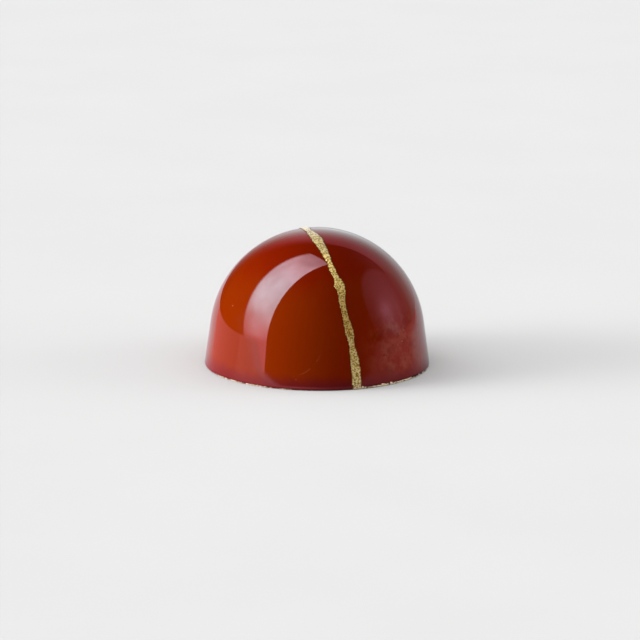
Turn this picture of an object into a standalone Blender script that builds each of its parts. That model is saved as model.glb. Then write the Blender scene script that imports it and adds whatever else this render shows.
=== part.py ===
"""A moulded chocolate praline: a round dome on a tapered skirt, standing on its flat foot.

The praline is one solid turned about Z. Its origin is the centre of the foot, +Z runs up
through the crown, and the front faces -Y. All sizes are in metres.
"""

import math

import bmesh
import bpy

# Driving dimensions. The foot is measured where the skirt's line would meet the floor: the
# rounding of its edge leaves the praline 0.08 mm narrower than that.
FOOT_DIAMETER = 0.030
SKIRT_HEIGHT = 0.0059
DRAFT_ANGLE = math.radians(8.1)
FOOT_EDGE_RADIUS = 0.00025

# Fineness of the turned shape
STEPS_AROUND = 96
DOME_STEPS = 24
FOOT_EDGE_STEPS = 4
MERGE_DISTANCE = 0.00001

SHELL_COLOR = (0.24, 0.021, 0.003, 1.0)
SHELL_ROUGHNESS = 0.08
SHELL_IOR = 1.5


def clear_scene():
    """Remove whatever the file opened with."""
    for scene_object in list(bpy.data.objects):
        bpy.data.objects.remove(scene_object, do_unlink=True)


def arc(center_r, center_z, radius, start_angle, end_angle, steps):
    """Points (r, z) along a circular arc, with both of its ends."""
    points = []
    for step in range(steps + 1):
        angle = start_angle + (end_angle - start_angle) * step / steps
        r = center_r + radius * math.cos(angle)
        z = center_z + radius * math.sin(angle)
        points.append((r, z))
    return points


def praline_profile():
    """The outline from the crown, down the dome and the skirt, and across the foot.

    The dome is part of a sphere centred on the axis, and it runs into the skirt without
    a crease. The skirt's taper is the draft that lets the piece out of its mould.
    """
    foot_radius = FOOT_DIAMETER / 2
    skirt_top_radius = foot_radius - SKIRT_HEIGHT * math.tan(DRAFT_ANGLE)
    dome_radius = skirt_top_radius / math.cos(DRAFT_ANGLE)
    dome_center_z = SKIRT_HEIGHT - dome_radius * math.sin(DRAFT_ANGLE)
    dome = arc(0.0, dome_center_z, dome_radius, math.pi / 2, DRAFT_ANGLE, DOME_STEPS)
    dome[0] = (0.0, dome_center_z + dome_radius)

    inset = FOOT_EDGE_RADIUS * (1 + math.sin(DRAFT_ANGLE)) / math.cos(DRAFT_ANGLE)
    flat_radius = foot_radius - inset
    edge = arc(flat_radius, FOOT_EDGE_RADIUS, FOOT_EDGE_RADIUS, DRAFT_ANGLE, -math.pi / 2, FOOT_EDGE_STEPS)
    edge[-1] = (flat_radius, 0.0)

    foot_center = [(0.0, 0.0)]
    return dome + edge + foot_center


def glossy_material(name, color, roughness, ior):
    """A Principled material for a smooth, glossy surface."""
    material = bpy.data.materials.new(name)
    material.use_nodes = True
    shader = material.node_tree.nodes["Principled BSDF"]
    shader.inputs["Base Color"].default_value = color
    shader.inputs["Roughness"].default_value = roughness
    shader.inputs["IOR"].default_value = ior
    material.diffuse_color = color
    return material


def turned_solid(name, profile, steps, material, collection):
    """A solid of revolution about Z, from a profile in the XZ plane."""
    mesh = bpy.data.meshes.new(name)
    outline = bmesh.new()
    verts = [outline.verts.new((r, 0.0, z)) for r, z in profile]
    for upper, lower in zip(verts, verts[1:]):
        outline.edges.new((upper, lower))
    outline.to_mesh(mesh)
    outline.free()
    mesh.materials.append(material)

    solid = bpy.data.objects.new(name, mesh)
    collection.objects.link(solid)
    screw = solid.modifiers.new("Turn", "SCREW")
    screw.axis = "Z"
    screw.steps = steps
    screw.render_steps = steps
    screw.use_merge_vertices = True
    screw.merge_threshold = MERGE_DISTANCE
    screw.use_smooth_shade = True
    return solid


def build_praline():
    collection = bpy.data.collections.new("chocolate_praline")
    bpy.context.scene.collection.children.link(collection)
    shell = glossy_material("red_cocoa_butter", SHELL_COLOR, SHELL_ROUGHNESS, SHELL_IOR)
    return turned_solid("praline_body", praline_profile(), STEPS_AROUND, shell, collection)


clear_scene()
build_praline()
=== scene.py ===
"""Looks of the chocolate praline: glossy red shell, raised gold vein, gold dust and scraped foot.

The praline stands on the origin, +Z is up and the front faces -Y. Lengths are in metres, and
angles on the shell are measured at the centre of the foot: 0 is the front of the foot along
the vein, 90 degrees is the crown and 180 degrees is the foot at the back.
"""

import math

import bpy
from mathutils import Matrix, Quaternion, Vector, noise


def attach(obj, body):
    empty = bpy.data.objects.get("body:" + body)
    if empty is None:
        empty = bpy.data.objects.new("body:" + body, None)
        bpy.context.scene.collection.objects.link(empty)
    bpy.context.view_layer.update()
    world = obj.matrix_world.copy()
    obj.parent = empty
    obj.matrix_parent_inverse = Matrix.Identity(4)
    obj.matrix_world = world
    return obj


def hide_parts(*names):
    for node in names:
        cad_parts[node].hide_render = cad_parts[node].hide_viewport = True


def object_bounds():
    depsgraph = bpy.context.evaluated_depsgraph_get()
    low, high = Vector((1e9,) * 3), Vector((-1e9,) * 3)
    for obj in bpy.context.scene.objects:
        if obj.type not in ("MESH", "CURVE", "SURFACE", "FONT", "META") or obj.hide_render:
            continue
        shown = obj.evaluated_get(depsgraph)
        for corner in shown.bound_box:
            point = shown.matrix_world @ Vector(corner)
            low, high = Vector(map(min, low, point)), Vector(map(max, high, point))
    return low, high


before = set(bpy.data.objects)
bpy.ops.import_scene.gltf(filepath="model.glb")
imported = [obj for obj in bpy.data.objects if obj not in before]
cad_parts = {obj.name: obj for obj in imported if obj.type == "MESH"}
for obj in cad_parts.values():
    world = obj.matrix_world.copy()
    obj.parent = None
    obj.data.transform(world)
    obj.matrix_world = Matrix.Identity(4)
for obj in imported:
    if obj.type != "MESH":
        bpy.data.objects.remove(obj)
cad_low, cad_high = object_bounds()

MM = 0.001
UP = Vector((0.0, 0.0, 1.0))

# The shell, as the frame holds it: a drafted skirt that runs into part of a sphere.
DRAFT = math.radians(8.1)
FOOT_EDGE_RADIUS = 0.25 * MM
HEIGHT = cad_high.z
EDGE_INSET = FOOT_EDGE_RADIUS * (1 + math.sin(DRAFT)) / math.cos(DRAFT)
FLAT_RADIUS = (cad_high.x - cad_low.x) / 2 - FOOT_EDGE_RADIUS
FOOT_RADIUS = FLAT_RADIUS + EDGE_INSET
SLOPE = math.tan(DRAFT)
CLOSING = (1 - math.sin(DRAFT)) / math.cos(DRAFT)
SKIRT_HEIGHT = (HEIGHT - CLOSING * FOOT_RADIUS) / (1 - CLOSING * SLOPE)
DOME_RADIUS = (FOOT_RADIUS - SKIRT_HEIGHT * SLOPE) / math.cos(DRAFT)
DOME_CENTER = Vector((0.0, 0.0, HEIGHT - DOME_RADIUS))


# ------------------------ mesh helpers


def mesh_object(name, verts, faces):
    """A smooth-shaded object from points and faces."""
    mesh = bpy.data.meshes.new(name)
    mesh.from_pydata(verts, [], faces)
    mesh.update()
    mesh.shade_smooth()
    made = bpy.data.objects.new(name, mesh)
    bpy.context.scene.collection.objects.link(made)
    return made


def ring_faces(upper_start, lower_start, count):
    """Quads between two closed rings of the same number of points."""
    faces = []
    for i in range(count):
        j = (i + 1) % count
        faces.append((upper_start + i, lower_start + i, lower_start + j, upper_start + j))
    return faces


def lay_flat(made, places):
    """Lays a piece out on the square its looks are baked on, one place for each face's corner."""
    layer = made.data.uv_layers.new(name="OFBake")
    for corner, place in zip(layer.uv, places, strict=True):
        corner.vector = place


# the big disc of a round piece on the square, and the small one in its corner for hidden faces
DISC_MIDDLE = (0.5, 0.5)
DISC_RADIUS = 0.495
CORNER_MIDDLE = (0.078, 0.078)
CORNER_RADIUS = 0.072


def disc_place(center, radius, step, steps):
    """A place on a ring round a center of the square."""
    angle = 2 * math.pi * step / steps
    return center[0] + radius * math.cos(angle), center[1] + radius * math.sin(angle)


def disc_places(faces, steps, reaches, split):
    """Places for a piece whose points are a pole, rings of points and another pole.

    Reaches say how far along the surface each ring lies. The faces up to the ring at split
    fill the big disc, and those past it the small one, with the last pole at its center.
    """
    places = []
    for face in faces:
        rings = [(point + steps - 1) // steps for point in face]
        hidden = max(rings) > split
        for point, ring in zip(face, rings):
            step = (point - 1) % steps
            if hidden:
                share = (reaches[-1] - reaches[ring]) / (reaches[-1] - reaches[split])
                places.append(disc_place(CORNER_MIDDLE, CORNER_RADIUS * share, step, steps))
            else:
                share = reaches[ring] / reaches[split]
                places.append(disc_place(DISC_MIDDLE, DISC_RADIUS * share, step, steps))
    return places


def reaches_along(profile):
    """How far along a profile each of its points lies."""
    reaches = [0.0]
    for (r, z), (next_r, next_z) in zip(profile, profile[1:]):
        reaches.append(reaches[-1] + math.hypot(next_r - r, next_z - z))
    return reaches


def circle(radius, steps, z):
    """Points on a circle about Z."""
    points = []
    for step in range(steps):
        angle = 2 * math.pi * step / steps
        points.append(Vector((radius * math.cos(angle), radius * math.sin(angle), z)))
    return points


def closed_faces(ring_count, steps):
    """Faces over a pole, rings of points and another pole, outward if the first pole is on top."""
    last = 1 + ring_count * steps
    faces = []
    for i in range(steps):
        j = (i + 1) % steps
        faces.append((0, 1 + i, 1 + j))
        faces.append((last, last - steps + j, last - steps + i))
    for ring in range(ring_count - 1):
        faces += ring_faces(1 + ring * steps, 1 + (ring + 1) * steps, steps)
    return faces


def turned_mesh(profile, steps):
    """Points and faces of a profile turned about Z. Its first and last points are on the axis."""
    verts = [UP * profile[0][1]]
    for r, z in profile[1:-1]:
        verts += circle(r, steps, z)
    verts.append(UP * profile[-1][1])
    return verts, closed_faces(len(profile) - 2, steps)


def arc(center_r, center_z, radius, start, end, steps):
    """Points (r, z) along a circular arc, with both of its ends."""
    points = []
    for step in range(steps + 1):
        angle = start + (end - start) * step / steps
        points.append((center_r + radius * math.cos(angle), center_z + radius * math.sin(angle)))
    return points


# ------------------------ the shell's surface


def shell_point(angle, offset, azimuth):
    """The shell's point and outward normal at an angle up from the front of the foot.

    The angle is taken in the upright plane through the axis that points to azimuth, and
    offset is how far to the right of that plane the point lies.
    """
    ahead = Vector((math.sin(azimuth), -math.cos(azimuth), 0.0))
    aside = Vector((math.cos(azimuth), math.sin(azimuth), 0.0))
    ray = ahead * math.cos(angle) + UP * math.sin(angle)
    # the ray's length where it meets the dome's sphere
    lift = DOME_CENTER.z * math.sin(angle)
    length = lift + math.sqrt(lift**2 - DOME_CENTER.z**2 - offset**2 + DOME_RADIUS**2)
    point = ray * length + aside * offset
    if point.z >= SKIRT_HEIGHT:
        return point, (point - DOME_CENTER).normalized()
    # or the skirt's cone
    a = math.cos(angle)**2 - (SLOPE * math.sin(angle))**2
    b = FOOT_RADIUS * SLOPE * math.sin(angle)
    c = offset**2 - FOOT_RADIUS**2
    length = (-b + math.sqrt(b * b - a * c)) / a
    point = ray * length + aside * offset
    outward = Vector((point.x, point.y, 0.0)).normalized()
    return point, outward * math.cos(DRAFT) + UP * math.sin(DRAFT)


def held(value):
    """A value held between 0 and 1."""
    return min(1.0, max(0.0, value))


def between(table, key):
    """The row for a key, read smoothly from a table whose rows start with rising keys."""
    for low, high in zip(table, table[1:]):
        if key <= high[0]:
            share = held((key - low[0]) / (high[0] - low[0]))
            share = share * share * (3 - 2 * share)
            return [a + (b - a) * share for a, b in zip(low[1:], high[1:])]
    return list(table[-1][1:])


# ------------------------ materials


# where a Mix node's colour sockets are, among those of other kinds with the same names
COLOR_A = 6
COLOR_B = 7
COLOR_RESULT = 2


class Nodes:
    """A tree of nodes being built."""

    def new(self, kind):
        """A new node in the tree."""
        return self.tree.nodes.new("ShaderNode" + kind)

    def put(self, value, socket):
        """Feeds a socket with another socket, a number, a direction or an RGB colour."""
        if isinstance(value, bpy.types.NodeSocket):
            self.tree.links.new(value, socket)
        elif isinstance(value, tuple):
            socket.default_value = (*value, 1.0)
        else:
            socket.default_value = value

    def calc(self, operation, a, b=0.0):
        """One step of arithmetic."""
        node = self.new("Math")
        node.operation = operation
        self.put(a, node.inputs[0])
        self.put(b, node.inputs[1])
        return node.outputs[0]

    def remap(self, value, low, high, new_low=0.0, new_high=1.0):
        """Takes a value smoothly from one range to another, held at both ends."""
        node = self.new("MapRange")
        node.interpolation_type = "SMOOTHSTEP"
        node.inputs["From Min"].default_value = low
        node.inputs["From Max"].default_value = high
        node.inputs["To Min"].default_value = new_low
        node.inputs["To Max"].default_value = new_high
        self.put(value, node.inputs["Value"])
        return node.outputs["Result"]

    def total(self, first, *others):
        """The sum of several values."""
        for other in others:
            first = self.calc("ADD", first, other)
        return first

    def times(self, first, *others):
        """The product of several values."""
        for other in others:
            first = self.calc("MULTIPLY", first, other)
        return first

    def rest(self, share):
        """What a share leaves of 1."""
        return self.calc("SUBTRACT", 1.0, share)


class Look(Nodes):
    """A material being built: one Principled shader and the textures that feed it."""

    def __init__(self, name, roughness, metallic=0.0):
        self.material = bpy.data.materials.new(name)
        self.material.use_nodes = True
        self.tree = self.material.node_tree
        self.shader = self.tree.nodes["Principled BSDF"]
        self.shader.inputs["Roughness"].default_value = roughness
        self.shader.inputs["Metallic"].default_value = metallic
        self.place = self.new("TexCoord").outputs["Object"]

    def noise(self, scale, detail=2.0, roughness=0.5, stretch=(1.0, 1.0, 1.0), shift=(0.0, 0.0, 0.0)):
        """Noise from about 0.2 to 0.8; scale is in waves per metre."""
        mapping = self.new("Mapping")
        mapping.inputs["Location"].default_value = shift
        mapping.inputs["Scale"].default_value = stretch
        self.put(self.place, mapping.inputs["Vector"])
        node = self.new("TexNoise")
        node.inputs["Scale"].default_value = scale
        node.inputs["Detail"].default_value = detail
        node.inputs["Roughness"].default_value = roughness
        self.put(mapping.outputs["Vector"], node.inputs["Vector"])
        return node.outputs["Fac"]

    def cells(self, scale):
        """Distance to the nearest of many scattered points, in cell widths."""
        node = self.new("TexVoronoi")
        node.inputs["Scale"].default_value = scale
        self.put(self.place, node.inputs["Vector"])
        return node.outputs["Distance"]

    def flake_glints(self, scale):
        """A value from 0 to 1 that jumps from one small cell to the next."""
        node = self.new("TexVoronoi")
        node.inputs["Scale"].default_value = scale
        self.put(self.place, node.inputs["Vector"])
        split = self.new("SeparateColor")
        self.put(node.outputs["Color"], split.inputs["Color"])
        return split.outputs["Red"]

    def attribute(self, name):
        """A value stored on the mesh's points."""
        node = self.new("Attribute")
        node.attribute_name = name
        return node.outputs["Fac"]

    def axis(self, name):
        """One coordinate of the surface point, in metres."""
        node = self.new("SeparateXYZ")
        self.put(self.place, node.inputs["Vector"])
        return node.outputs[name]

    def away_from(self, point):
        """Distance in metres from a point."""
        node = self.new("VectorMath")
        node.operation = "DISTANCE"
        self.put(self.place, node.inputs[0])
        node.inputs[1].default_value = point
        return node.outputs["Value"]

    def mix(self, share, first, second, blend="MIX"):
        """Goes from the first colour to the second, or to both blended, as share rises to 1."""
        node = self.new("Mix")
        node.data_type = "RGBA"
        node.blend_type = blend
        self.put(share, node.inputs["Factor"])
        self.put(first, node.inputs[COLOR_A])
        self.put(second, node.inputs[COLOR_B])
        return node.outputs[COLOR_RESULT]

    def relief(self, height, depth):
        """Bumps the surface by a height from 0 to 1 times a depth in metres."""
        node = self.new("Bump")
        node.inputs["Strength"].default_value = 1.0
        node.inputs["Distance"].default_value = depth
        self.put(height, node.inputs["Height"])
        self.put(node.outputs["Normal"], self.shader.inputs["Normal"])

    def color(self, value):
        self.put(value, self.shader.inputs["Base Color"])

    def roughness(self, value):
        self.put(value, self.shader.inputs["Roughness"])


# what the noise of a surface ranges over, near enough
NOISE_LOW = 0.2
NOISE_HIGH = 0.8

SHELL_ORANGE = (0.205, 0.0180, 0.0004)
SHELL_RED = (0.196, 0.0094, 0.0004)
SHELL_FOOT = (0.132, 0.0080, 0.0095)
SHELL_SCUFF = (0.300, 0.0600, 0.0280)
SHELL_PIT = (0.060, 0.0030, 0.0010)
# painted shade: the dark hem stands for the contact shadow along the foot's bottom edge
SHELL_HEM_SHADE = (0.040, 0.0040, 0.0040)
SHELL_SPECK = (0.620, 0.300, 0.180)
# the heights and the places along X between which the orange spray gives way to the deeper red:
# partly the spray's own tone, partly painted shade where less light falls
RED_HEIGHTS = (11.0 * MM, 16.0 * MM)
RED_PLACES = (-1.0 * MM, 7.0 * MM)
RED_AT_RIGHT = 0.7
SPRAY_DRIFT = 2.5 * MM
# the part that was handled, and how far from its center its marks and its dullness fade out
SCUFF_CENTER = (10.2 * MM, -9.2 * MM, 4.6 * MM)
SCUFF_FADE = (7.0 * MM, 2.0 * MM)
DULL_FADE = (11.0 * MM, 3.0 * MM)
# just above the foot: the heights over which the dark chocolate shows through, how uneven they
# are, where the gloss is duller, and the dark hem of painted contact shade with the places along X
# where it sets in
FOOT_FADE = (2.4 * MM, 0.2 * MM)
FOOT_UNEVEN = 0.3 * MM
FOOT_DULL_FADE = (2.2 * MM, 0.4 * MM)
HEM_FADE = (0.6 * MM, 0.2 * MM)
HEM_PLACES = (2.0 * MM, 9.0 * MM)
# stray specks of spray, and small pits: x, y, z and size in mm
SPECKS = [
    (-11.0, -7.2, 9.4, 0.09),
    (-2.7, -14.6, 1.4, 0.08),
    (11.1, -9.0, 5.25, 0.09),
    (11.3, -8.3, 6.55, 0.06),
    (11.9, -8.1, 5.5, 0.05),
]
PITS = [
    (11.3, -8.2, 6.8, 0.12),
    (11.3, -8.4, 6.2, 0.10),
    (8.5, -11.0, 7.05, 0.09),
    (12.3, -7.2, 5.4, 0.10),
    (8.7, -11.5, 4.0, 0.17),
    (9.0, -11.3, 3.9, 0.12),
    (10.5, -9.4, 6.4, 0.14),
    (10.6, -9.4, 6.1, 0.14),
    (-6.1, -13.2, 5.1, 0.10),
]
# a faint scratch: the circle it follows, its width, and how far from its middle it fades out
SCRATCH_CENTER = (-4.2 * MM, -14.4 * MM, 6.6 * MM)
SCRATCH_RADIUS = 5.0 * MM
SCRATCH_WIDTH = (0.16 * MM, 0.03 * MM)
SCRATCH_MIDDLE = (-0.9 * MM, -14.5 * MM, 2.9 * MM)
SCRATCH_FADE = (2.8 * MM, 1.6 * MM)
# how strongly each kind of mark shows, and how many pinholes there are where nothing was handled
SCUFF_SHARE = 0.45
SHADE_SHARE = 0.35
SCRATCH_SHARE = 0.35
SPECK_SHARE = 0.4
PIT_SHARE = 0.6
PINHOLES_ELSEWHERE = 0.25


def scratch(look):
    """Where the faint broken scratch lies, from 0 to 1."""
    beside = look.calc("SUBTRACT", look.away_from(SCRATCH_CENTER), SCRATCH_RADIUS)
    line = look.remap(look.calc("ABSOLUTE", beside), *SCRATCH_WIDTH)
    part = look.remap(look.away_from(SCRATCH_MIDDLE), *SCRATCH_FADE)
    line = look.times(line, part)
    return look.times(line, look.remap(look.noise(1700.0, detail=3.0), 0.40, 0.60))


def dotted(look, body, dots, color, share):
    """Adds small round marks of a colour, each at its place."""
    for x, y, z, size in dots:
        away = look.away_from((x * MM, y * MM, z * MM))
        dot = look.remap(away, 1.3 * size * MM, 0.5 * size * MM)
        body = look.mix(look.times(dot, share), body, color)
    return body


def spray_and_shade(look):
    """The spray's colour: the orange thins out towards the crown and the right to show the red, which
    is partly the spray's own tone and partly painted shade where less light falls.
    """
    drift = look.noise(140.0, detail=3.0)
    drift = look.remap(drift, NOISE_LOW, NOISE_HIGH, -SPRAY_DRIFT, SPRAY_DRIFT)
    to_crown = look.remap(look.total(look.axis("Z"), drift), *RED_HEIGHTS)
    to_right = look.total(look.axis("X"), drift)
    to_right = look.remap(to_right, *RED_PLACES, 0.0, RED_AT_RIGHT)
    return look.mix(look.calc("MAXIMUM", to_crown, to_right), SHELL_ORANGE, SHELL_RED)


def marked(look, body, handled, scuff):
    """Adds scuffs and shade where the shell was handled, the scratch, the specks and the pits."""
    body = look.mix(look.times(scuff, SCUFF_SHARE), body, SHELL_SCUFF)
    shade = look.noise(750.0, detail=4.0, roughness=0.6, shift=(3.0, 0.0, 0.0))
    shade = look.remap(shade, 0.52, 0.70)
    shade = look.times(shade, handled)
    body = look.mix(look.times(shade, SHADE_SHARE), body, SHELL_PIT)
    body = look.mix(look.times(scratch(look), SCRATCH_SHARE), body, SHELL_SCUFF)
    body = dotted(look, body, SPECKS, SHELL_SPECK, SPECK_SHARE)
    body = dotted(look, body, PITS, SHELL_PIT, PIT_SHARE)
    # pinholes lie in patches, most of them where the shell was handled
    pinholes = look.remap(look.cells(900.0), 0.13, 0.05)
    patches = look.remap(look.noise(260.0), 0.55, 0.62)
    pinholes = look.times(pinholes, patches)
    pinholes = look.times(pinholes, look.total(handled, PINHOLES_ELSEWHERE))
    return look.mix(pinholes, body, SHELL_PIT)


def darkened(look, body, rise):
    """Lets the dark chocolate show through the thin spray just above the foot, and paints a dark
    contact shade along the bottom edge on the right.
    """
    body = look.mix(look.remap(rise, *FOOT_FADE), body, SHELL_FOOT)
    # painted shade: a dark contact shadow along the bottom edge, on the right
    hem = look.remap(look.axis("Z"), *HEM_FADE)
    hem = look.times(hem, look.remap(look.axis("X"), *HEM_PLACES))
    return look.mix(hem, body, SHELL_HEM_SHADE)


def shell_material():
    """Sprayed cocoa butter: orange-red on the left, deeper red on the right (partly painted shade),
    dull at the foot, with painted contact shade along the bottom edge on the right.
    """
    look = Look("red_cocoa_butter", 0.06)
    look.shader.inputs["IOR"].default_value = 1.5
    body = spray_and_shade(look)
    handled = look.remap(look.away_from(SCUFF_CENTER), *SCUFF_FADE)
    scuff = look.remap(look.noise(600.0, detail=5.0, roughness=0.62), 0.40, 0.66)
    scuff = look.times(handled, scuff)
    body = marked(look, body, handled, scuff)
    uneven = look.noise(420.0)
    uneven = look.remap(uneven, NOISE_LOW, NOISE_HIGH, -FOOT_UNEVEN, FOOT_UNEVEN)
    rise = look.total(look.axis("Z"), uneven)
    look.color(darkened(look, body, rise))
    haze = look.noise(700.0, detail=4.0, roughness=0.6)
    haze = look.remap(haze, 0.35, 0.75, 0.025, 0.045)
    dull = look.remap(look.away_from(SCUFF_CENTER), *DULL_FADE, 0.0, 0.02)
    foot = look.remap(rise, *FOOT_DULL_FADE, 0.0, 0.02)
    haze = look.total(haze, look.calc("MAXIMUM", dull, foot))
    look.roughness(look.total(haze, look.times(scuff, 0.08)))
    return look.material


# the grains' colours: partly the dust's own tone, partly painted highlight on their crowns and
# painted shade in their gaps
GOLD_BRIGHT = (0.84, 0.76, 0.42)
GOLD_MIDDLE = (0.84, 0.710, 0.265)
GOLD_SHADOW = (0.27, 0.175, 0.030)
# the dark rim colour: thin gold over the shell, and partly painted shade along the vein's raised edge
GOLD_EDGE = (0.075, 0.005, 0.001)
GOLD_METALLIC = 0.4
GOLD_RELIEF = 0.02 * MM
# the gold's tint at the foot, then upward: the heights where the next one starts and is
# reached, and the tint. These tints are painted light and shade: paler at the foot where the dust
# lies in shade, darker and browner in the middle, lighter from 11 to 14.5 mm, darker again from
# 15.6 mm, and paler and bluer at the crown as a painted reflection of the pale backdrop
GOLD_FOOT_LIGHT_TINT = (1.16, 1.17, 1.65)
GOLD_LIGHT_TINTS = [
    (0.5 * MM, 0.9 * MM, (1.07, 1.08, 1.10)),
    (2.0 * MM, 5.0 * MM, (0.97, 0.93, 0.88)),
    (6.2 * MM, 7.6 * MM, (0.90, 0.74, 0.55)),
    (11.2 * MM, 13.0 * MM, (1.18, 1.07, 0.88)),
    (13.2 * MM, 14.5 * MM, (1.19, 1.13, 0.98)),
    (15.6 * MM, 16.8 * MM, (0.88, 0.88, 0.88)),
    (17.8 * MM, 18.1 * MM, (0.93, 0.97, 1.35)),
]


def gold_level(look, fine):
    """How bright each spot of the gold is: its grains first, then fine noise and small flakes. The
    grains' crowns and gaps are partly the dust's own tone and partly painted highlight and shade, and
    the flakes are partly painted glints.
    """
    grain = look.total(look.times(look.attribute("grain"), 0.55), 0.25)
    fine = look.remap(fine, 0.25, 0.75, -0.2, 0.2)
    level = look.total(grain, fine)
    return look.total(level, look.remap(look.flake_glints(6200.0), 0.0, 1.0, -0.35, 0.35))


def gold_material():
    """Gold lustre dust in cocoa butter: bright grains with olive-brown gaps between them, partly
    painted highlight and shade, tinted by height with painted light and edged with partly painted
    shade.
    """
    look = Look("gold_lustre", 0.5, GOLD_METALLIC)
    look.shader.inputs["Specular IOR Level"].default_value = 0.0
    look.shader.inputs["Sheen Weight"].default_value = 1.0
    look.shader.inputs["Sheen Roughness"].default_value = 0.3
    fine = look.noise(9000.0, detail=2.0, roughness=0.6)
    level = gold_level(look, fine)
    color = look.mix(look.remap(level, 0.1, 0.55), GOLD_SHADOW, GOLD_MIDDLE)
    color = look.mix(look.remap(level, 0.6, 0.95), color, GOLD_BRIGHT)
    # painted light and shade: the gold's colour is multiplied by tints that change with height
    tint = GOLD_FOOT_LIGHT_TINT
    for start, end, next_tint in GOLD_LIGHT_TINTS:
        tint = look.mix(look.remap(look.axis("Z"), start, end), tint, next_tint)
    color = look.mix(1.0, color, tint, "MULTIPLY")
    # where the gold thins out it turns a dull red-brown; along the vein's rim this dark edge is
    # partly painted shade beside the raised gold
    cover = look.attribute("cover")
    look.color(look.mix(cover, GOLD_EDGE, color))
    metallic = look.remap(cover, 0.5, 1.0, 0.0, GOLD_METALLIC)
    look.put(metallic, look.shader.inputs["Metallic"])
    rough = look.remap(level, 0.2, 0.9, 0.62, 0.44)
    look.roughness(look.calc("MAXIMUM", rough, look.remap(cover, 0.3, 0.9, 0.95, 0.44)))
    look.relief(fine, GOLD_RELIEF)
    return look.material


CHOCOLATE = (0.055, 0.022, 0.011)
CHOCOLATE_PALE = (0.090, 0.042, 0.024)
# the scraper's drag lines run along X
DRAG_STRETCH = (0.06, 1.0, 1.0)
DRAG_RELIEF = 0.03 * MM


def chocolate_material():
    """Dark chocolate scraped flat: satin, with faint drag lines and a pale bloom."""
    look = Look("foot_chocolate", 0.42)
    lines = look.noise(2600.0, detail=3.0, roughness=0.55, stretch=DRAG_STRETCH)
    bloom = look.noise(330.0, detail=4.0, roughness=0.6)
    color = look.mix(look.remap(bloom, 0.4, 0.75), CHOCOLATE, CHOCOLATE_PALE)
    color = look.mix(look.remap(lines, 0.5, 0.8, 0.0, 0.5), color, CHOCOLATE_PALE)
    look.color(color)
    look.roughness(look.remap(bloom, 0.3, 0.7, 0.36, 0.52))
    look.relief(lines, DRAG_RELIEF)
    return look.material


# ------------------------ the shell

SHELL_STEPS = 240
DOME_RINGS = 90
SKIRT_RINGS = 30
EDGE_RINGS = 6
# the wall stands a little steeper over the lowest part of the skirt
TUCK_HEIGHT = 2.2 * MM
TUCK_DEPTH = 0.010 * MM
# the recess that holds the chocolate foot
FOOT_LIP = 0.32 * MM
RECESS_DEPTH = 0.35 * MM
RECESS_RADIUS = FLAT_RADIUS - FOOT_LIP


def tuck(height):
    """How far the wall steps in at a height above the floor."""
    low = max(0.0, 1 - height / TUCK_HEIGHT)
    return TUCK_DEPTH * low * low


def make_shell():
    """The coloured shell, turned about its axis, with a shallow recess under the foot."""
    dome = arc(0.0, DOME_CENTER.z, DOME_RADIUS, math.pi / 2, DRAFT, DOME_RINGS)
    dome[0] = (0.0, HEIGHT)
    edge = arc(FLAT_RADIUS, FOOT_EDGE_RADIUS, FOOT_EDGE_RADIUS, DRAFT, -math.pi / 2, EDGE_RINGS)
    top, bottom = dome[-1], edge[0]
    skirt = []
    for ring in range(1, SKIRT_RINGS):
        share = ring / SKIRT_RINGS
        height = top[1] + (bottom[1] - top[1]) * share
        skirt.append((top[0] + (bottom[0] - top[0]) * share - tuck(height), height))
    edge = [(r - tuck(z), z) for r, z in edge]
    recess = [
        (RECESS_RADIUS + 0.05 * MM, 0.0),
        (RECESS_RADIUS, 0.05 * MM),
        (RECESS_RADIUS, RECESS_DEPTH),
        (RECESS_RADIUS / 2, RECESS_DEPTH),
        (0.0, RECESS_DEPTH),
    ]
    profile = dome + skirt + edge + recess
    verts, faces = turned_mesh(profile, SHELL_STEPS)
    shell = mesh_object("red_shell", verts, faces)
    split = len(profile) - len(recess)
    lay_flat(shell, disc_places(faces, SHELL_STEPS, reaches_along(profile), split))
    shell.data.materials.append(shell_material())
    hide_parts("praline_body")
    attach(shell, "root")


# ------------------------ the chocolate foot

FOOT_CAP_RINGS = 60
FOOT_CAP_STEPS = 240
FOOT_CAP_TOP = 0.30 * MM
# its edge: the gap to the recess's wall, how far it wanders slowly and quickly, and the share of
# the radius from which it is rounded
FOOT_CAP_GAP = 0.09 * MM
FOOT_CAP_WANDER = 0.10 * MM
FOOT_CAP_RAGGEDNESS = 0.05 * MM
FOOT_CAP_ROUNDING = 0.05 * MM
ROUNDED_FROM = 0.985
# its face: how high it lies, then the height, length and width of its drag lines and waves
FACE_HEIGHT = 0.045 * MM
FACE_LOWEST = 0.004 * MM
DRAG_LINE = (0.018 * MM, 9 * MM, 0.55 * MM)
WAVE = (0.020 * MM, 5 * MM, 4 * MM)
PINHOLE_SPACING = 2.6 * MM
PINHOLE_RADIUS = 0.16 * MM
PINHOLE_DEPTH = 0.12 * MM


def foot_cap_outline(angle):
    """The chocolate's edge, which the scraper left a little ragged."""
    around = Vector((math.cos(angle), math.sin(angle), 0.0))
    wander = FOOT_CAP_WANDER * noise.noise(around * 3.0)
    wander += FOOT_CAP_RAGGEDNESS * noise.noise(around * 16.0)
    return RECESS_RADIUS - FOOT_CAP_GAP + wander


def ripple(x, y, form, layer):
    """Uneven relief with a height, a length along X and a width along Y."""
    height, length, width = form
    return height * noise.noise(Vector((x / length, y / width, layer)))


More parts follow.
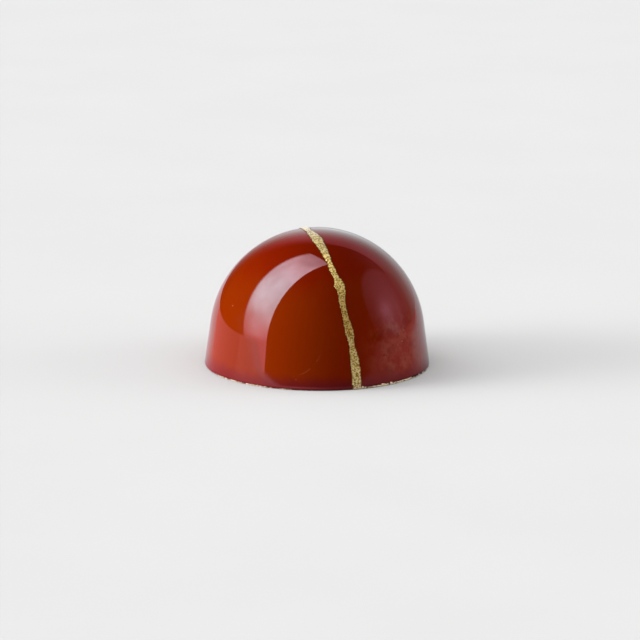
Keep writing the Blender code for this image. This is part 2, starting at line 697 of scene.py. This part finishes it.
def foot_cap_height(x, y):
    """The scraped face: long drag lines along X, a few pinholes, never below the floor."""
    height = FACE_HEIGHT + ripple(x, y, DRAG_LINE, 1.7) + ripple(x, y, WAVE, 8.2)
    spread = Vector((x / PINHOLE_SPACING, y / PINHOLE_SPACING, 0.0))
    nearest = noise.voronoi(spread)[0][0] * PINHOLE_SPACING
    pinhole = max(0.0, 1 - nearest / PINHOLE_RADIUS)
    return max(FACE_LOWEST, height) + PINHOLE_DEPTH * pinhole


def make_foot_cap():
    """The disc of dark chocolate that closes the shell, seen from underneath."""
    verts = [UP * foot_cap_height(0.0, 0.0)]
    for ring in range(1, FOOT_CAP_RINGS + 1):
        share = ring / FOOT_CAP_RINGS
        rounding = FOOT_CAP_ROUNDING * max(0.0, share - ROUNDED_FROM) / (1 - ROUNDED_FROM)
        for step in range(FOOT_CAP_STEPS):
            angle = 2 * math.pi * step / FOOT_CAP_STEPS
            reach = foot_cap_outline(angle) * share
            x, y = reach * math.cos(angle), reach * math.sin(angle)
            verts.append(Vector((x, y, foot_cap_height(x, y) + rounding)))
    # the side and the flat top, which stay inside the recess
    for x, y, _ in verts[-FOOT_CAP_STEPS:]:
        verts.append(Vector((x, y, FOOT_CAP_TOP)))
    verts.append(UP * FOOT_CAP_TOP)
    # the points run from below to the top, so the faces are turned over to point outward
    faces = [tuple(reversed(face)) for face in closed_faces(FOOT_CAP_RINGS + 1, FOOT_CAP_STEPS)]
    cap = mesh_object("foot_cap", verts, faces)
    # the face's rings lie one apart, the side is two high and the flat top closes it
    reaches = [float(ring) for ring in range(FOOT_CAP_RINGS + 1)]
    reaches += [FOOT_CAP_RINGS + 2.0, 2.0 * FOOT_CAP_RINGS]
    lay_flat(cap, disc_places(faces, FOOT_CAP_STEPS, reaches, FOOT_CAP_RINGS))
    cap.data.materials.append(chocolate_material())
    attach(cap, "root")


# ------------------------ gold

# the share of a ribbon's strip that its top skin takes, and how much of its place a strip fills
TOP_SHARE = 0.80
STRIP_FILL = 0.94
# the narrow bands above the strips, for the faces that close a ribbon's two ends
END_BAND = 0.012
FIRST_END = 1 - 2.5 * END_BAND
LAST_END = 1 - END_BAND


def end_places(columns, base):
    """Places for the face that closes one end of a ribbon."""
    across = [i / (columns - 1) for i in range(columns)]
    lower = [(x, base) for x in across]
    upper = [(x, base + END_BAND) for x in reversed(across)]
    return lower + upper


def ribbon_places(row_count, columns, strips, loop):
    """Places for a ribbon cut into strips that lie above each other on the square."""
    size = 2 * columns
    rows_per_strip = row_count // strips
    height = (1 - 3 * END_BAND) / strips
    around = [TOP_SHARE * i / (columns - 1) for i in range(columns)]
    around += [TOP_SHARE + (1 - TOP_SHARE) * (i + 1) / (columns + 1) for i in range(columns + 1)]
    places = []
    for row in range(row_count):
        strip, step = divmod(row, rows_per_strip)
        left, right = step / rows_per_strip, (step + 1) / rows_per_strip
        for i in range(size):
            low = (strip + STRIP_FILL * around[i]) * height
            high = (strip + STRIP_FILL * around[i + 1]) * height
            places += [(left, low), (right, low), (right, high), (left, high)]
    if not loop:
        places += end_places(columns, FIRST_END)
        places += reversed(end_places(columns, LAST_END))
    return places


def closed_ribbon(name, top_rows, bottom_rows, marks, strips, loop):
    """A ribbon with a top and a bottom skin, joined along its sides and at its ends.

    Each row is a list of points across the ribbon. A looping ribbon's last row joins its first.
    Marks are the values that the gold's material reads off the top skin, named and by row, and
    strips is how many parts the ribbon is cut into to be laid out flat.
    """
    verts = []
    columns = len(top_rows[0])
    size = 2 * columns
    for top, bottom in zip(top_rows, bottom_rows):
        verts += top + list(reversed(bottom))
    faces = []
    count = len(top_rows)
    bands = count if loop else count - 1
    for row in range(bands):
        faces += ring_faces(row * size, (row + 1) % count * size, size)
    if not loop:
        faces.append(tuple(range(size)))
        faces.append(tuple(reversed(range(size * (count - 1), size * count))))
    made = mesh_object(name, verts, faces)
    lay_flat(made, ribbon_places(bands, columns, strips, loop))
    for mark, rows in marks.items():
        values = []
        for row in rows:
            values += row + [0.0] * columns
        attribute = made.data.attributes.new(mark, "FLOAT", "POINT")
        attribute.data.foreach_set("value", values)
    return made


# The vein's course: angle in degrees, then its left and right edges in mm beside the plane.
VEIN_AZIMUTH = math.radians(24.0)
VEIN_COURSE = [
    (0.0, -1.60, -0.42),
    (6.0, -1.65, -0.42),
    (10.0, -1.70, -0.42),
    (14.0, -1.75, -0.50),
    (18.0, -1.80, -0.70),
    (20.0, -1.80, -0.90),
    (22.0, -1.80, -1.05),
    (25.0, -1.96, -1.07),
    (28.0, -2.20, -1.00),
    (32.0, -2.30, -1.25),
    (36.0, -2.32, -1.52),
    (40.0, -2.40, -1.55),
    (43.0, -2.40, -1.50),
    (46.0, -2.30, -1.25),
    (50.0, -2.47, -1.08),
    (52.5, -2.32, -1.20),
    (54.0, -2.25, -1.54),
    (58.0, -2.45, -1.60),
    (62.0, -2.35, -1.66),
    (66.0, -2.43, -1.50),
    (70.0, -2.46, -1.38),
    (74.0, -2.44, -1.24),
    (78.0, -2.50, -1.00),
    (83.0, -2.30, -1.02),
    (90.0, -1.92, -1.02),
    (95.0, -1.64, -0.62),
    (100.0, -1.22, -0.14),
    (106.0, -0.75, 0.30),
    (112.0, -0.50, 0.60),
    (118.0, -0.75, 0.45),
    (126.0, -0.95, 0.15),
    (134.0, -1.25, 0.05),
    (142.0, -1.10, -0.05),
    (149.0, -0.85, -0.10),
    (158.0, -0.80, 0.20),
    (168.0, -0.75, 0.35),
    (180.0, -0.70, 0.50),
]
VEIN_START = 0.7
VEIN_END = 179.3
VEIN_ROWS = 1000
VEIN_COLUMNS = 26
VEIN_STRIPS = 5
VEIN_THICKNESS = 0.085 * MM
VEIN_MARGIN = 0.10 * MM
# how deep its rim and its hidden skin lie in the shell
VEIN_SINK = 0.004 * MM
VEIN_DEPTH = 0.07 * MM
# in mm, how far its left edge stands in from the course and how far both edges wander, and how
# quickly they wander from one degree to the next
VEIN_INSET = 0.10
VEIN_WANDER = 0.06
VEIN_RAGGEDNESS = 0.09
VEIN_TURNS = 0.55
# the lengths over which its swelling and the raggedness of its cover change
SWELL_LENGTH = 0.9 * MM
COVER_LENGTH = 0.18 * MM
GRAIN_SIZE = 0.145 * MM
GRAIN_HEIGHT = 0.05 * MM


def gold_grain(point):
    """How far a point of the gold lies on a grain: 1 on its crown, 0 in the gap beside it."""
    near, next_near = noise.voronoi(point / GRAIN_SIZE)[0][:2]
    return held(1.15 * (next_near - near) + 0.35 * (1 - near))


def vein_edges(degrees):
    """The vein's left and right edges at an angle, slightly ragged."""
    left, right = between(VEIN_COURSE, degrees)
    along = Vector((degrees * VEIN_TURNS, 0.0, 0.0))
    other = Vector((degrees * VEIN_TURNS, 9.0, 0.0))
    wander = VEIN_WANDER * noise.noise(along)
    left += VEIN_INSET + wander + VEIN_RAGGEDNESS * noise.noise(along * 2.7)
    wander = VEIN_WANDER * noise.noise(other)
    right += wander + VEIN_RAGGEDNESS * noise.noise(other * 2.7)
    return left * MM, right * MM


def vein_row(degrees):
    """One row across the vein: its top and bottom points, and its grain and cover at each."""
    left, right = vein_edges(degrees)
    middle, reach = (left + right) / 2, (right - left) / 2 + VEIN_MARGIN
    top, bottom, grains, covers = [], [], [], []
    for column in range(VEIN_COLUMNS + 1):
        # from right to left, so that the faces point outward
        across = math.cos(math.pi * column / VEIN_COLUMNS)
        point, normal = shell_point(math.radians(degrees), middle + reach * across, VEIN_AZIMUTH)
        grain = gold_grain(point)
        from_rim = reach * (1 - abs(across))
        inset = from_rim / VEIN_MARGIN + 0.8 * noise.noise(point / COVER_LENGTH)
        mound = held(from_rim / (1.6 * VEIN_MARGIN))
        mound = mound * (2 - mound)
        swell = 0.85 + 0.3 * noise.noise(point / SWELL_LENGTH)
        lift = mound * (VEIN_THICKNESS * swell + GRAIN_HEIGHT * (grain - 0.5)) - VEIN_SINK
        top.append(point + normal * lift)
        bottom.append(point - normal * VEIN_DEPTH)
        grains.append(grain)
        covers.append(held(inset - 0.6))
    return top, bottom, grains, covers


def make_vein():
    """The gold vein over the crown from foot to foot: a raised, flat, grainy band."""
    rows = []
    for row in range(VEIN_ROWS + 1):
        rows.append(vein_row(VEIN_START + (VEIN_END - VEIN_START) * row / VEIN_ROWS))
    tops, bottoms, grains, covers = zip(*rows)
    marks = {"grain": grains, "cover": covers}
    vein = closed_ribbon("gold_vein", tops, bottoms, marks, VEIN_STRIPS, False)
    vein.data.materials.append(gold_material())
    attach(vein, "root")


# How thickly gold clings to the foot: degrees round from the front, then cover from 0 to 1
# and the height it reaches in mm. Its densest part runs right from the vein.
DUST_COVER = [
    (0.0, 0.25, 0.12),
    (14.0, 0.15, 0.12),
    (20.0, 0.90, 0.40),
    (28.0, 0.60, 0.24),
    (36.0, 0.85, 0.26),
    (44.0, 0.95, 0.28),
    (52.0, 0.82, 0.26),
    (60.0, 0.60, 0.24),
    (74.0, 0.60, 0.24),
    (90.0, 0.45, 0.24),
    (104.0, 0.25, 0.22),
    (150.0, 0.10, 0.15),
    (200.0, 0.40, 0.22),
    (215.0, 0.40, 0.22),
    (250.0, 0.10, 0.15),
    (290.0, 0.15, 0.14),
    (303.0, 0.75, 0.18),
    (328.0, 0.72, 0.17),
    (345.0, 0.50, 0.14),
    (360.0, 0.25, 0.12),
]
DUST_ROWS = 2400
DUST_COLUMNS = 12
DUST_STRIPS = 12
DUST_THICKNESS = 0.08 * MM
DUST_GRAIN = 0.14 * MM
# how high the ring reaches, and the shares of its profile where it starts and where it has
# gone round the foot's edge
DUST_TOP = 0.62 * MM
DUST_START = 0.25
DUST_BEND = 0.55
DUST_LOWEST = 0.01 * MM
# how deep it sinks between flecks, and how deep its hidden skin lies
DUST_SINK = 0.03 * MM
DUST_DEPTH = 0.09 * MM
# the sizes of its clumps and of the flecks in them
CLUMP_SIZE = 0.8 * MM
FLECK_SIZE = 0.24 * MM
# tarnish sets in this many degrees round, over this many more, and takes at most this share
TARNISH_FROM = 50.0
TARNISH_OVER = 18.0
TARNISH_MOST = 0.6


def dust_profile(share):
    """A point (r, z) on the foot's edge and its outward normal (r, z), from below to the top."""
    start = -math.pi / 2
    if share < DUST_BEND:
        angle = start + (DRAFT - start) * share / DUST_BEND
        r = FLAT_RADIUS + FOOT_EDGE_RADIUS * math.cos(angle)
        z = FOOT_EDGE_RADIUS + FOOT_EDGE_RADIUS * math.sin(angle)
        return r - tuck(z), z, math.cos(angle), math.sin(angle)
    base = FOOT_EDGE_RADIUS * (1 + math.sin(DRAFT))
    z = base + (DUST_TOP - base) * (share - DUST_BEND) / (1 - DUST_BEND)
    return FOOT_RADIUS - z * SLOPE - tuck(z), z, math.cos(DRAFT), math.sin(DRAFT)


def tarnish(degrees):
    """How much of the dust's gold has turned brown, part of the way round the foot."""
    most = min(TARNISH_MOST, max(0.0, (degrees - TARNISH_FROM) / TARNISH_OVER))
    return most * min(1.0, 0.75 + noise.noise(Vector((degrees * 0.6, 0.0, 5.0))))


def dust_row(degrees):
    """One row of the dust, from below the foot's edge to its top, like a row of the vein."""
    azimuth = math.radians(degrees)
    cover, height = between(DUST_COVER, degrees)
    ahead = Vector((math.sin(azimuth), -math.cos(azimuth), 0.0))
    top, bottom, grains = [], [], []
    for column in range(DUST_COLUMNS + 1):
        share = DUST_START + (1 - DUST_START) * column / DUST_COLUMNS
        r, z, normal_r, normal_z = dust_profile(share)
        point = ahead * r + UP * z
        normal = ahead * normal_r + UP * normal_z
        clump = 0.5 + 0.5 * noise.noise(point / CLUMP_SIZE) + 0.7 * noise.noise(point / FLECK_SIZE)
        body = (clump + cover - 1.0) * 2.2 - max(0.0, z / (height * MM) - 0.75) * 2.5
        body = held(body + 0.4 * cover)
        near = noise.voronoi(point / DUST_GRAIN)[0][0]
        grain = held(1.1 - 1.2 * near)
        lift = DUST_THICKNESS * body * (0.45 + 0.55 * grain) - DUST_SINK * (1 - body)
        lifted = point + normal * lift
        lifted.z = max(lifted.z, DUST_LOWEST)
        top.append(lifted)
        bottom.append(point - normal * DUST_DEPTH)
        # painted light: the dust's grain values are raised so its gold shows brighter, for dust that
        # lies in shade at the foot
        grains.append(0.6 + grain)
    return top, bottom, grains, [1.0 - tarnish(degrees)] * len(grains)


def make_dust():
    """Gold flecks along the foot's edge: one thin ring that sinks out of sight between flecks."""
    rows = [dust_row(360.0 * row / DUST_ROWS) for row in range(DUST_ROWS)]
    tops, bottoms, grains, covers = zip(*rows)
    marks = {"grain": grains, "cover": covers}
    dust = closed_ribbon("gold_foot_dust", tops, bottoms, marks, DUST_STRIPS, True)
    dust.data.materials.append(bpy.data.materials["gold_lustre"])
    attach(dust, "root")


# ------------------------ studio


def direction(azimuth, elevation):
    """The way to a light: azimuth 0 is the viewer's side and 90 the right, both in degrees."""
    a, e = math.radians(azimuth), math.radians(elevation)
    return Vector((math.sin(a) * math.cos(e), -math.cos(a) * math.cos(e), math.sin(e)))


def edge_plane(first, second):
    """The side a panel lies on of the straight edge from one direction to another."""
    return direction(*first).cross(direction(*second)).normalized()


class Studio(Nodes):
    """The light around the praline, as panels and glows that depend on the way a ray goes."""

    def __init__(self):
        world = bpy.data.worlds.new("studio")
        world.use_nodes = True
        bpy.context.scene.world = world
        self.tree = world.node_tree
        self.tree.nodes.clear()
        self.ray = self.new("TexCoord").outputs["Generated"]

    def toward(self, way):
        """The cosine between the ray and a direction."""
        node = self.new("VectorMath")
        node.operation = "DOT_PRODUCT"
        self.put(self.ray, node.inputs[0])
        self.put(way, node.inputs[1])
        return node.outputs["Value"]

    def cone(self, azimuth, elevation, edge, core):
        """Goes from 0 at edge degrees off a direction to 1 within core degrees of it."""
        cosine = self.toward(direction(azimuth, elevation))
        return self.remap(cosine, math.cos(math.radians(edge)), math.cos(math.radians(core)))

    def cloud(self, scale):
        """Soft unevenness that depends on the ray's direction."""
        node = self.new("TexNoise")
        node.inputs["Scale"].default_value = scale
        node.inputs["Detail"].default_value = 3.0
        self.put(self.ray, node.inputs["Vector"])
        return node.outputs["Fac"]

    def glow(self, azimuth, elevation, strength, spread):
        """A round glow that fades over about spread degrees."""
        cosine = self.calc("MAXIMUM", self.toward(direction(azimuth, elevation)), 0.0)
        power = 1 / math.radians(spread)**2
        return self.times(self.calc("POWER", cosine, power), strength)

    def cut(self, light, corners, soft):
        """Keeps a light inside the straight edges between corners, each edge with its softness."""
        for (first, second), blur in zip(zip(corners, corners[1:] + corners[:1]), soft):
            inside = self.toward(edge_plane(first, second))
            light = self.times(light, self.remap(inside, -blur / 2, blur / 2))
        return light

    def lamp(self, strength, color=(1.0, 1.0, 1.0)):
        """Light of one colour, as strong as a value says."""
        node = self.new("Background")
        node.inputs["Color"].default_value = (*color, 1.0)
        self.put(strength, node.inputs["Strength"])
        return node.outputs["Background"]

    def add(self, first, *others):
        """Several lights together."""
        for other in others:
            node = self.new("AddShader")
            self.put(first, node.inputs[0])
            self.put(other, node.inputs[1])
            first = node.outputs["Shader"]
        return first

    def choose(self, question, no, yes):
        """One light or another, as a question about the ray says."""
        node = self.new("MixShader")
        self.put(question, node.inputs["Fac"])
        self.put(no, node.inputs[1])
        self.put(yes, node.inputs[2])
        return node.outputs["Shader"]


# Panels with straight edges: directions to their corners, and how soft each edge is.
SOFTBOX_CORNERS = [(-55.2, -3.0), (119.8, 80.1), (-165.0, 69.5), (-83.3, -3.0)]
SOFTBOX_EDGES = (0.008, 0.03, 0.07, 0.04)
SWEEP_CORNERS = [(131.0, 30.0), (122.0, -3.0), (-158.0, -3.0), (-158.0, 40.0), (172.0, 53.0)]
SWEEP_EDGES = (0.35, 0.05, 0.55, 0.25, 0.02)
REFLECTOR_RADIUS = math.radians(32.0)
REFLECTOR_EDGE = 0.04

CORE_LIGHT = (0.12, 0.88, 1.0)
SPILL_LIGHT = (1.0, 0.63, 0.73)
EMBER_LIGHT = (1.0, 0.03, 0.08)
REFLECTOR_LIGHT = (1.0, 0.45, 0.65)
SWEEP_LIGHT = (0.88, 0.98, 1.0)
SWEEP_RED_LIGHT = (1.0, 0.19, 0.29)


def softbox(studio, up):
    """The large softbox on the left, leaning over the praline."""
    box = studio.cut(1.0, SOFTBOX_CORNERS, SOFTBOX_EDGES)
    cloth = studio.remap(studio.cloud(4.0), 0.25, 0.75)
    cloth = studio.total(studio.times(cloth, 0.3), 0.85)
    shape = studio.times(box, cloth, studio.remap(up, -0.14, 0.10))
    # its lower left is the dimmest part
    near = studio.cone(-45.0, 10.0, 40.0, 15.0)
    dim = studio.times(studio.rest(near), studio.rest(studio.remap(up, 0.25, 0.5)))
    shape = studio.times(shape, studio.rest(studio.times(dim, 0.42)))
    core = studio.times(studio.glow(-76.0, 42.0, 6.1, 21.6), shape)
    spill = studio.total(
        studio.glow(-53.0, 60.0, 7.1, 42.6),
        studio.glow(-120.0, 78.0, 1.5, 10.0),
        studio.glow(-70.0, 37.0, 0.9, 6.0),
    )
    # its far tip is dimmer
    tip = studio.cone(-170.0, 78.0, 16.0, 5.0)
    spill = studio.times(spill, shape, studio.rest(studio.times(tip, 0.36)))
    # and its foot comes back red from under the gloss
    ember = studio.total(studio.glow(-58.0, 4.0, 2.9, 14.0), studio.glow(-86.0, 10.0, 1.4, 12.0))
    ember = studio.times(ember, box)
    return [
        studio.lamp(core, CORE_LIGHT),
        studio.lamp(spill, SPILL_LIGHT),
        studio.lamp(ember, EMBER_LIGHT),
    ]


def reflector(studio):
    """A round reflector on the right, with the room's glow around it."""
    rim = math.cos(REFLECTOR_RADIUS)
    disc = studio.remap(studio.toward(direction(97.0, 22.0)), rim, rim + REFLECTOR_EDGE)
    face = studio.total(
        studio.glow(97.0, 31.0, 0.55, 15.0),
        studio.glow(88.0, 20.0, 1.25, 6.0),
        studio.glow(106.0, 20.0, 0.20, 7.0),
        0.12,
    )
    light = studio.total(
        studio.times(face, disc),
        studio.glow(96.0, 2.0, 0.30, 11.0),
        studio.glow(127.0, 10.0, 0.08, 8.0),
        studio.glow(134.0, 36.0, 0.15, 11.0),
    )
    return studio.lamp(light, REFLECTOR_LIGHT)


def sweep(studio, up):
    """The pale sweep behind, whose upper part comes back red from under the gloss."""
    shape = studio.cut(1.0, SWEEP_CORNERS, SWEEP_EDGES)
    white = studio.total(
        studio.glow(178.0, 14.0, 1.2, 14.0),
        studio.glow(142.0, 12.0, 0.34, 17.0),
        studio.glow(152.0, 2.0, 0.28, 8.0),
        studio.glow(177.0, 6.0, 0.35, 4.0),
    )
    right = studio.remap(studio.toward(direction(90.0, 0.0)), -0.25, 0.25)
    red = studio.times(studio.remap(up, 0.28, 0.75), shape)
    red = studio.times(red, studio.rest(studio.times(right, 0.3)))
    return [
        studio.lamp(studio.times(white, shape), SWEEP_LIGHT),
        studio.lamp(red, SWEEP_RED_LIGHT),
    ]


def reflected_studio(studio):
    """What the glossy shell mirrors."""
    up = studio.toward(UP)
    return studio.add(*softbox(studio, up), reflector(studio), *sweep(studio, up))


def body_light(studio):
    """What lights the matte side of things: broad and low, as the colour under the gloss shows."""
    return studio.add(
        studio.lamp(studio.glow(-80.0, 8.0, 32.0, 11.0)),
        studio.lamp(studio.glow(-107.0, 46.0, 3.1, 15.0)),
        studio.lamp(studio.glow(95.0, 8.0, 7.8, 13.0)),
        studio.lamp(studio.glow(41.0, 5.0, 0.28, 15.0)),
        studio.lamp(studio.glow(40.0, 78.0, 0.40, 20.0)),
    )


# the brightness of the background that the camera sees
PALE = 0.86


def make_studio():
    """Sets what lights the praline, what its gloss mirrors and what the camera sees behind it."""
    studio = Studio()
    path = studio.new("LightPath")
    light = studio.choose(path.outputs["Is Glossy Ray"], body_light(studio), reflected_studio(studio))
    light = studio.choose(path.outputs["Is Camera Ray"], light, studio.lamp(PALE))
    output = studio.new("OutputWorld")
    studio.put(light, output.inputs["Surface"])


FLOOR_RADIUS = 1.6
FLOOR_SEEN = (0.500, 0.500, 0.500)
FLOOR_SEEN_SHADE = (0.492, 0.492, 0.492)
# what the floor sends to other surfaces, and what the gloss mirrors of its parts: painted
# reflections, darker on the right and at the contact as painted shadow
FLOOR_LIGHTS = (0.420, 0.420, 0.420)
FLOOR_FRONT = (1.000, 0.370, 0.400)
FLOOR_FRONT_FAR = (1.000, 0.600, 0.750)
FLOOR_LEFT = (0.700, 0.235, 0.265)
FLOOR_RIGHT = (0.350, 0.120, 0.135)
FLOOR_BACK_LEFT = (0.470, 0.460, 0.510)
FLOOR_BACK_RIGHT = (0.360, 0.400, 0.420)
FLOOR_CONTACT_SHADOW = (0.180, 0.060, 0.060)
# where one part of the floor gives way to the next, along Y, along X or from the middle
FRONT_FADE = (-7.0 * MM, -12.0 * MM)
FRONT_FAR_FADE = (-30.0 * MM, -150.0 * MM)
RIGHT_FADE = (-5.0 * MM, 5.0 * MM)
BACK_FADE = (-18.0 * MM, -4.0 * MM)
BACK_LEFT_FADE = (-22.0 * MM, -14.0 * MM)
BACK_RIGHT_FADE = (62.0 * MM, 16.0 * MM)
CONTACT_SHADOW_FADE = (17.5 * MM, 15.5 * MM)
CONTACT_SHADOW_FRONT_FADE = (-3.0 * MM, -9.0 * MM)
# how far the edges of the part behind lean outwards
BACK_LEAN = 0.45
BACK_SIDE_LEAN = 0.8
FLOOR_STEPS = 96
FLOOR_LIGHT_STRENGTH = 2.7
FLOOR_LIGHT_SIZE = math.radians(120.0)


def behind_share(look):
    """How far a spot belongs to the part of the floor behind the praline, from 0 to 1."""
    aside = look.times(look.calc("ABSOLUTE", look.axis("X")), BACK_LEAN)
    back = look.remap(look.calc("SUBTRACT", look.axis("Y"), aside), *BACK_FADE)
    behind = look.times(look.axis("Y"), BACK_SIDE_LEAN)
    left = look.remap(look.total(look.axis("X"), behind), *BACK_LEFT_FADE)
    right = look.calc("SUBTRACT", look.axis("X"), behind)
    right = look.remap(right, *BACK_RIGHT_FADE)
    return look.times(back, look.times(left, right))


def mirrored_floor(look):
    """The floor as the gloss mirrors it, part by part, with painted shadow on its right and where it
    meets the praline.
    """
    front = look.remap(look.axis("Y"), *FRONT_FADE)
    # painted shadow: the floor's right is mirrored darker, where the praline shades it
    right = look.remap(look.axis("X"), *RIGHT_FADE)
    front_far = look.remap(look.axis("Y"), *FRONT_FAR_FADE)
    ahead = look.mix(front_far, FLOOR_FRONT, FLOOR_FRONT_FAR)
    mirrored = look.mix(right, look.mix(front, FLOOR_LEFT, ahead), FLOOR_RIGHT)
    back = look.mix(right, FLOOR_BACK_LEFT, FLOOR_BACK_RIGHT)
    mirrored = look.mix(behind_share(look), mirrored, back)
    # painted shadow: the floor is mirrored darker where it meets the praline
    contact_shadow = look.remap(look.away_from((0.0, 0.0, 0.0)), *CONTACT_SHADOW_FADE)
    contact_shadow = look.times(contact_shadow, look.remap(look.axis("Y"), *CONTACT_SHADOW_FRONT_FADE))
    return look.mix(contact_shadow, mirrored, FLOOR_CONTACT_SHADOW)


def floor_material():
    """Pale card. The gloss mirrors it dimmer and warmer than the camera sees it."""
    look = Look("pale_floor", 0.9)
    look.shader.inputs["Specular IOR Level"].default_value = 0.0
    path = look.new("LightPath")
    mottle = look.remap(look.noise(35.0, detail=4.0), 0.3, 0.7)
    seen = look.mix(mottle, FLOOR_SEEN, FLOOR_SEEN_SHADE)
    mirrored = mirrored_floor(look)
    color = look.mix(path.outputs["Is Glossy Ray"], FLOOR_LIGHTS, mirrored)
    look.color(look.mix(path.outputs["Is Camera Ray"], color, seen))
    return look.material


def make_floor():
    """A round floor, far wider than the camera sees."""
    rim = circle(FLOOR_RADIUS, FLOOR_STEPS, 0.0)
    floor = mesh_object("floor", rim, [tuple(range(FLOOR_STEPS))])
    floor.data.materials.append(floor_material())
    return floor


def make_floor_light(floor):
    """A soft light from above that falls on the floor alone, and keeps its shadow pale."""
    data = bpy.data.lights.new("floor_light", "SUN")
    data.energy = FLOOR_LIGHT_STRENGTH
    data.angle = FLOOR_LIGHT_SIZE
    light = bpy.data.objects.new("floor_light", data)
    bpy.context.scene.collection.objects.link(light)
    light.visible_camera = False
    light.visible_glossy = False
    lit = bpy.data.collections.new("lit_from_above")
    lit.objects.link(floor)
    light.light_linking.receiver_collection = lit


CAMERA_DISTANCE = 0.45
CAMERA_ELEVATION = 13.4
CAMERA_ROLL = math.radians(0.40)
CAMERA_LENS = 190.9
SENSOR_WIDTH = 36.0
CAMERA_NEAR = 0.01
CAMERA_FAR = 10.0
AIM_RIGHT = 0.36 * MM
AIM_DOWN = 3.14 * MM


def make_camera():
    """A long lens in front of the praline, a little above it."""
    data = bpy.data.cameras.new("camera")
    data.lens = CAMERA_LENS
    data.sensor_width = SENSOR_WIDTH
    data.clip_start = CAMERA_NEAR
    data.clip_end = CAMERA_FAR
    camera = bpy.data.objects.new("camera", data)
    bpy.context.scene.collection.objects.link(camera)
    back = direction(0.0, CAMERA_ELEVATION)
    side = Vector((1.0, 0.0, 0.0))
    above = back.cross(side)
    aim = (cad_low + cad_high) / 2 + side * AIM_RIGHT - above * AIM_DOWN
    camera.location = aim + back * CAMERA_DISTANCE
    turn = (-back).to_track_quat("-Z", "Y")
    camera.rotation_mode = "QUATERNION"
    camera.rotation_quaternion = Quaternion(back, CAMERA_ROLL) @ turn
    bpy.context.scene.camera = camera


make_shell()
make_foot_cap()
make_vein()
make_dust()
make_studio()
make_floor_light(make_floor())
make_camera()
bpy.context.scene.view_settings.view_transform = "Standard"
